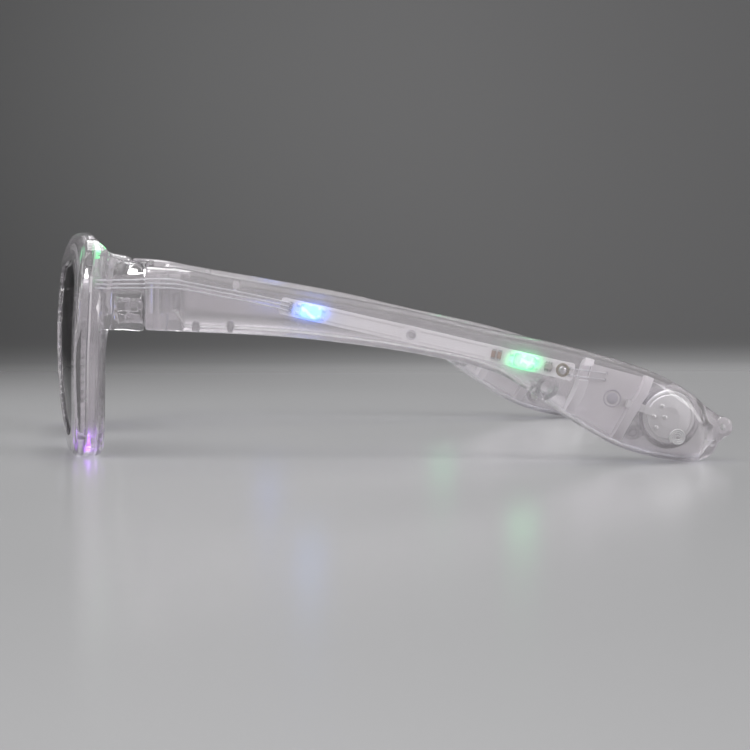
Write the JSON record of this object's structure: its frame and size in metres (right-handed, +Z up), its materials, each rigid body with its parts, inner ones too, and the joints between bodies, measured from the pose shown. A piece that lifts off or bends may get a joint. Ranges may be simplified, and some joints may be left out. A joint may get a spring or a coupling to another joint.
{
  "type": "light up party glasses",
  "caption": "Clear plastic party glasses with tinted lenses, folding hollow temples that hold lamps, coin cells and a push button.",
  "frame": {"origin": "middle of the glasses' box, on the surface that they stand on, temples open", "axes": "+Z up, the wearer looks along -Y and +X is the wearer's left"},
  "size_m": [0.157, 0.1528, 0.051],
  "materials": {
    "clear_plastic": "gloss",
    "smoke_lens": "gloss",
    "white_board": "satin",
    "blue_lamp": "gloss",
    "green_lamp": "gloss",
    "purple_lamp": "gloss",
    "board_parts": "satin",
    "switch_plastic": "satin",
    "button_plastic": "satin",
    "cell_steel": "satin",
    "contact_metal": "polished",
    "screw_steel": "satin",
    "lead_sleeve": "satin"
  },
  "bodies": {
    "front": {"front_shell": "clear_plastic", "rear_shell": "clear_plastic", "left_lens": "smoke_lens", "left_front_strip": "white_board", "left_corner_lamp": "green_lamp", "left_lower_lamp": "purple_lamp", "left_hinge_pin": "screw_steel", "left_hinge_leads": "lead_sleeve", "right_lens": "smoke_lens", "right_front_strip": "white_board", "right_corner_lamp": "green_lamp", "right_lower_lamp": "purple_lamp", "right_hinge_pin": "screw_steel", "right_hinge_leads": "lead_sleeve"},
    "left_temple": {"left_outer_shell": "clear_plastic", "left_inner_shell": "clear_plastic", "left_temple_strip": "white_board", "left_front_lamp": "blue_lamp", "left_rear_lamp": "green_lamp", "left_strip_parts": "board_parts", "left_control_board": "white_board", "left_tact_switch": "switch_plastic", "left_inner_cell": "cell_steel", "left_outer_cell": "cell_steel", "left_positive_contact": "contact_metal", "left_negative_contact": "contact_metal", "left_battery_door": "clear_plastic", "left_door_screw": "screw_steel", "left_supply_leads": "lead_sleeve"},
    "left_button": {"left_power_button": "button_plastic", "left_switch_plunger": "switch_plastic"},
    "right_temple": {"right_outer_shell": "clear_plastic", "right_inner_shell": "clear_plastic", "right_temple_strip": "white_board", "right_front_lamp": "blue_lamp", "right_rear_lamp": "green_lamp", "right_strip_parts": "board_parts", "right_control_board": "white_board", "right_tact_switch": "switch_plastic", "right_inner_cell": "cell_steel", "right_outer_cell": "cell_steel", "right_positive_contact": "contact_metal", "right_negative_contact": "contact_metal", "right_battery_door": "clear_plastic", "right_door_screw": "screw_steel", "right_supply_leads": "lead_sleeve"},
    "right_button": {"right_power_button": "button_plastic", "right_switch_plunger": "switch_plastic"}
  },
  "joints": [
    {"name": "left_temple_hinge", "type": "hinge", "parent": "front", "child": "left_temple", "pos_m": [0.0626, -0.05364, 0.037], "axis": [0, 0, 1], "range_deg": [0, 96.5], "deforming": ["left_hinge_leads"]},
    {"name": "left_button_press", "type": "slide", "parent": "left_temple", "child": "left_button", "axis": [0.999, -0.0436, 0], "range_m": [0, 0.0005], "stiffness_N_per_m": 300, "springref_m": -0.001},
    {"name": "right_temple_hinge", "type": "hinge", "parent": "front", "child": "right_temple", "pos_m": [-0.0626, -0.05364, 0.037], "axis": [0, 0, -1], "range_deg": [0, 82.5], "deforming": ["right_hinge_leads"]},
    {"name": "right_button_press", "type": "slide", "parent": "right_temple", "child": "right_button", "axis": [-0.999, -0.0436, 0], "range_m": [0, 0.0005], "stiffness_N_per_m": 300, "springref_m": -0.001}
  ]
}
